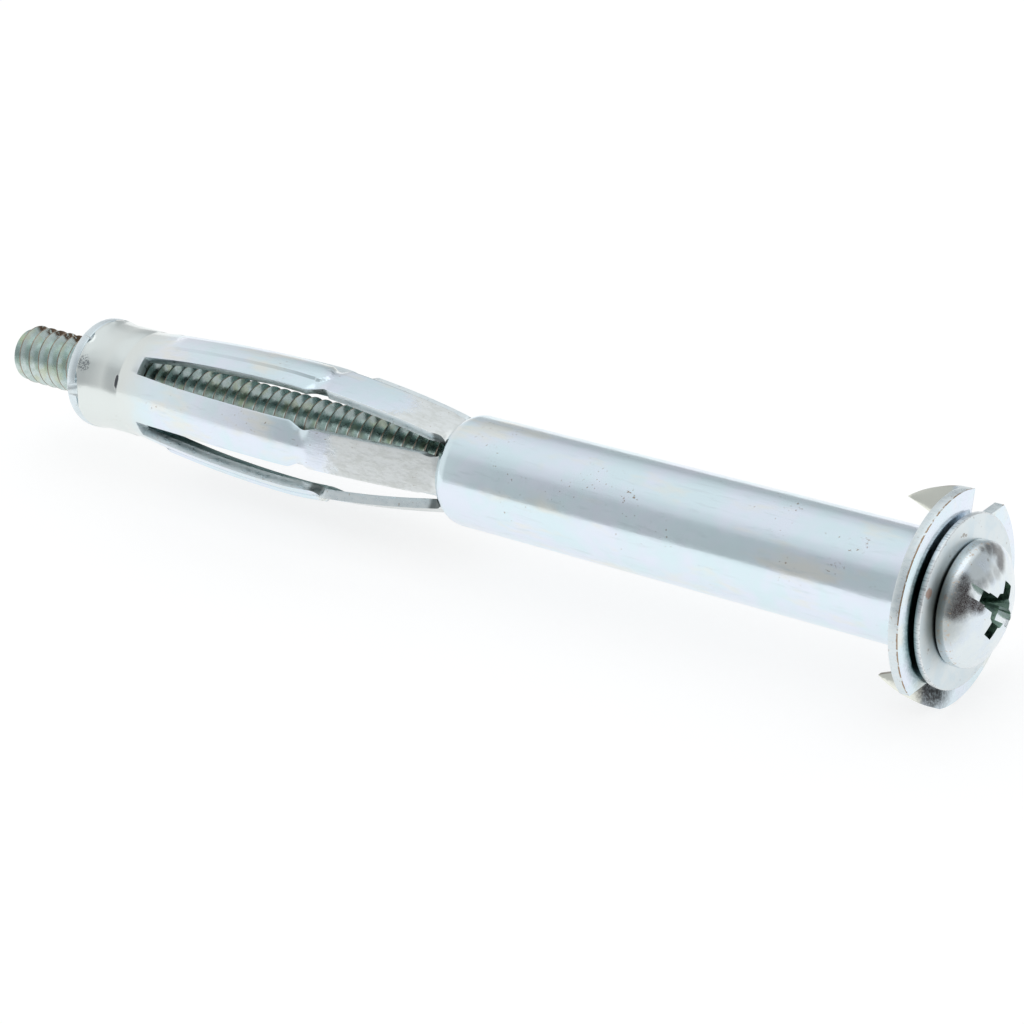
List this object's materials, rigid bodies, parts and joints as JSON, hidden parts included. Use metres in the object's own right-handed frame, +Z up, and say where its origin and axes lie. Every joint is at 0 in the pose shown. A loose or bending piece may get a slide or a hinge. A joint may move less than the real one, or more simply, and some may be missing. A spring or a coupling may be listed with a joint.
{
  "type": "hollow wall anchor",
  "caption": "Zinc-plated steel hollow wall anchor, unset: barbed flange, slotted folding-leg sleeve, threaded bush, dished washer and pan-head screw with a slotted cross recess.",
  "frame": {"origin": "on the axis, in the plane of the flange's back face, the one that meets the wall", "axes": "+X along the axis towards the screw head, so the sleeve goes into the wall along -X; +Z up as the anchor lies on its side, on its flange and two of its legs, with a third leg on top"},
  "size_m": [0.0913, 0.0154, 0.0154],
  "materials": {
    "sleeve_zinc": "bright zinc plate with a faint blue tint, lightly scuffed, matte where the legs are pressed flat",
    "bush_zinc": "bright zinc plate, turned",
    "washer_zinc": "satin zinc plate",
    "screw_zinc": "zinc plate, greenish grey in the thread and pale on the head"
  },
  "bodies": {
    "anchor_body": {"sleeve": "sleeve_zinc", "threaded_bush": "bush_zinc"},
    "washer_carrier": {"washer": "washer_zinc"},
    "screw_body": {"screw": "screw_zinc"}
  },
  "joints": [
    {"name": "screw_travel", "type": "slide", "parent": "anchor_body", "child": "washer_carrier", "axis": [1, 0, 0], "range_m": [-0.00015, 0.01]},
    {"name": "screw_turn", "type": "hinge", "parent": "washer_carrier", "child": "screw_body", "pos_m": [0, 0, 0], "axis": [1, 0, 0], "range_deg": [-60, 3420]}
  ],
  "couplings": [
    {"joint": "screw_turn", "follows": "screw_travel", "rad_per_m": 5936.9}
  ]
}
